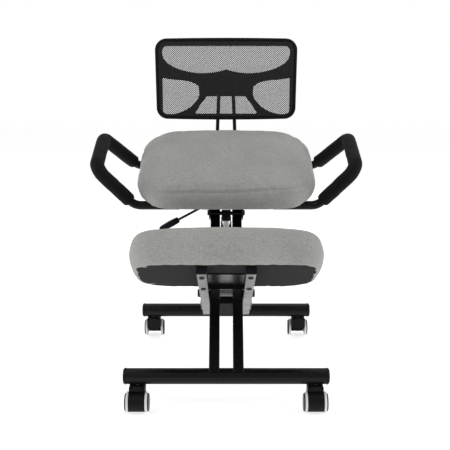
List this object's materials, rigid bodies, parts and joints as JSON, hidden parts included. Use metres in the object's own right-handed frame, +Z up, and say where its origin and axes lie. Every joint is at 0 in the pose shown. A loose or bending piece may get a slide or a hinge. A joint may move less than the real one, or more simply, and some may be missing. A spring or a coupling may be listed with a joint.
{
  "type": "kneeling chair",
  "caption": "Kneeling chair: padded seat and knee rest on a crossed steel frame with gas spring, foam-covered side handles, low mesh backrest and twin-wheel castors.",
  "frame": {"origin": "centre of the bounding box in plan, at floor level under the castors", "axes": "+X to the viewer's right when facing the chair's front, +Y towards the chair's back, +Z up"},
  "size_m": [0.669, 0.693, 0.859],
  "materials": {
    "frame_black": "satin powder coat",
    "zinc_steel": "zinc plated",
    "chrome_steel": "polished",
    "seat_fabric": "woven",
    "mesh_net": "open net",
    "board_wood": "plywood",
    "cover_fabric": "nonwoven",
    "grip_foam": "matt foam",
    "black_plastic": "moulded",
    "castor_tyre": "smooth",
    "castor_hub": "moulded",
    "bolt_black": "blackened"
  },
  "bodies": {
    "front_frame": {"back_rod_clamp": "black_plastic", "back_rods": "frame_black", "backrest_frame": "black_plastic", "backrest_mesh": "mesh_net", "bracket_bolt": "bolt_black", "front_bar_caps": "black_plastic", "front_crossbar": "frame_black", "front_tube_left": "frame_black", "front_tube_right": "frame_black", "gas_upper_pin": "bolt_black", "handle_clamps": "black_plastic", "handle_grip_left": "grip_foam", "handle_grip_right": "grip_foam", "handle_tube_left": "frame_black", "handle_tube_right": "frame_black", "pivot_bolt": "bolt_black", "pivot_washers": "bolt_black", "rod_saddle": "black_plastic", "seat_board": "board_wood", "seat_bracket": "frame_black", "seat_cushion": "seat_fabric", "seat_dust_cover": "cover_fabric", "seat_screws": "bolt_black", "spacer_sleeve": "zinc_steel", "tube_plugs": "black_plastic"},
    "rear_frame": {"side_member_left": "zinc_steel", "side_member_right": "zinc_steel", "member_end_blocks": "black_plastic", "member_screws": "bolt_black", "knee_cross_bar": "frame_black", "centre_strut": "frame_black", "rear_bolts": "zinc_steel", "gas_lower_pin": "zinc_steel", "rear_crossbar": "frame_black", "rear_bar_caps": "black_plastic", "knee_board": "board_wood", "knee_dust_cover": "cover_fabric", "knee_cushion": "seat_fabric"},
    "gas_cylinder_body": {"gas_head": "black_plastic", "gas_cylinder": "chrome_steel"},
    "gas_rod_body": {"gas_rod": "chrome_steel", "gas_rod_end": "black_plastic"},
    "release_lever": {"lever_rod": "bolt_black", "lever_grip": "black_plastic"},
    "castor_front_left": {"castor_front_left_stem": "zinc_steel", "castor_front_left_hood": "black_plastic"},
    "wheels_front_left": {"castor_front_left_wheels": "castor_hub", "castor_front_left_tyres": "castor_tyre"},
    "castor_front_right": {"castor_front_right_stem": "zinc_steel", "castor_front_right_hood": "black_plastic"},
    "wheels_front_right": {"castor_front_right_wheels": "castor_hub", "castor_front_right_tyres": "castor_tyre"},
    "castor_rear_left": {"castor_rear_left_stem": "zinc_steel", "castor_rear_left_hood": "black_plastic"},
    "wheels_rear_left": {"castor_rear_left_wheels": "castor_hub", "castor_rear_left_tyres": "castor_tyre"},
    "castor_rear_right": {"castor_rear_right_stem": "zinc_steel", "castor_rear_right_hood": "black_plastic"},
    "wheels_rear_right": {"castor_rear_right_wheels": "castor_hub", "castor_rear_right_tyres": "castor_tyre"}
  },
  "joints": [
    {"name": "frame_pivot", "type": "hinge", "parent": "front_frame", "child": "rear_frame", "pos_m": [0, -0.0285, 0.23587], "axis": [1, 0, 0], "range_deg": [-6, 3]},
    {"name": "gas_tilt", "type": "hinge", "parent": "front_frame", "child": "gas_cylinder_body", "pos_m": [0, 0.1215, 0.409], "axis": [1, 0, 0], "range_deg": [-0.1, 0.1]},
    {"name": "gas_slide", "type": "slide", "parent": "gas_cylinder_body", "child": "gas_rod_body", "axis": [0, -0.1703, -0.9854], "range_m": [-0.0064, 0.0126]},
    {"name": "lever_lift", "type": "hinge", "parent": "front_frame", "child": "release_lever", "pos_m": [-0.056, 0.1085, 0.432], "axis": [0, 1, 0], "range_deg": [0, 8], "stiffness_Nm_per_rad": 0.6, "springref_deg": -5.73},
    {"name": "swivel_front_left", "type": "hinge", "parent": "front_frame", "child": "castor_front_left", "pos_m": [-0.21, -0.1965, 0.063], "axis": [0, 0, 1], "continuous": true},
    {"name": "roll_front_left", "type": "hinge", "parent": "castor_front_left", "child": "wheels_front_left", "pos_m": [-0.21, -0.2145, 0.025], "axis": [1, 0, 0], "continuous": true},
    {"name": "swivel_front_right", "type": "hinge", "parent": "front_frame", "child": "castor_front_right", "pos_m": [0.21, -0.1965, 0.063], "axis": [0, 0, 1], "continuous": true},
    {"name": "roll_front_right", "type": "hinge", "parent": "castor_front_right", "child": "wheels_front_right", "pos_m": [0.21, -0.2145, 0.025], "axis": [1, 0, 0], "continuous": true},
    {"name": "swivel_rear_left", "type": "hinge", "parent": "rear_frame", "child": "castor_rear_left", "pos_m": [-0.21, 0.3035, 0.063], "axis": [0, 0, 1], "continuous": true},
    {"name": "roll_rear_left", "type": "hinge", "parent": "castor_rear_left", "child": "wheels_rear_left", "pos_m": [-0.21, 0.3215, 0.025], "axis": [1, 0, 0], "continuous": true},
    {"name": "swivel_rear_right", "type": "hinge", "parent": "rear_frame", "child": "castor_rear_right", "pos_m": [0.21, 0.3035, 0.063], "axis": [0, 0, 1], "continuous": true},
    {"name": "roll_rear_right", "type": "hinge", "parent": "castor_rear_right", "child": "wheels_rear_right", "pos_m": [0.21, 0.3215, 0.025], "axis": [1, 0, 0], "continuous": true}
  ],
  "couplings": [
    {"joint": "gas_tilt", "follows": "frame_pivot", "ratio": -0.01193},
    {"joint": "gas_slide", "follows": "frame_pivot", "m_per_rad": -0.11833}
  ]
}
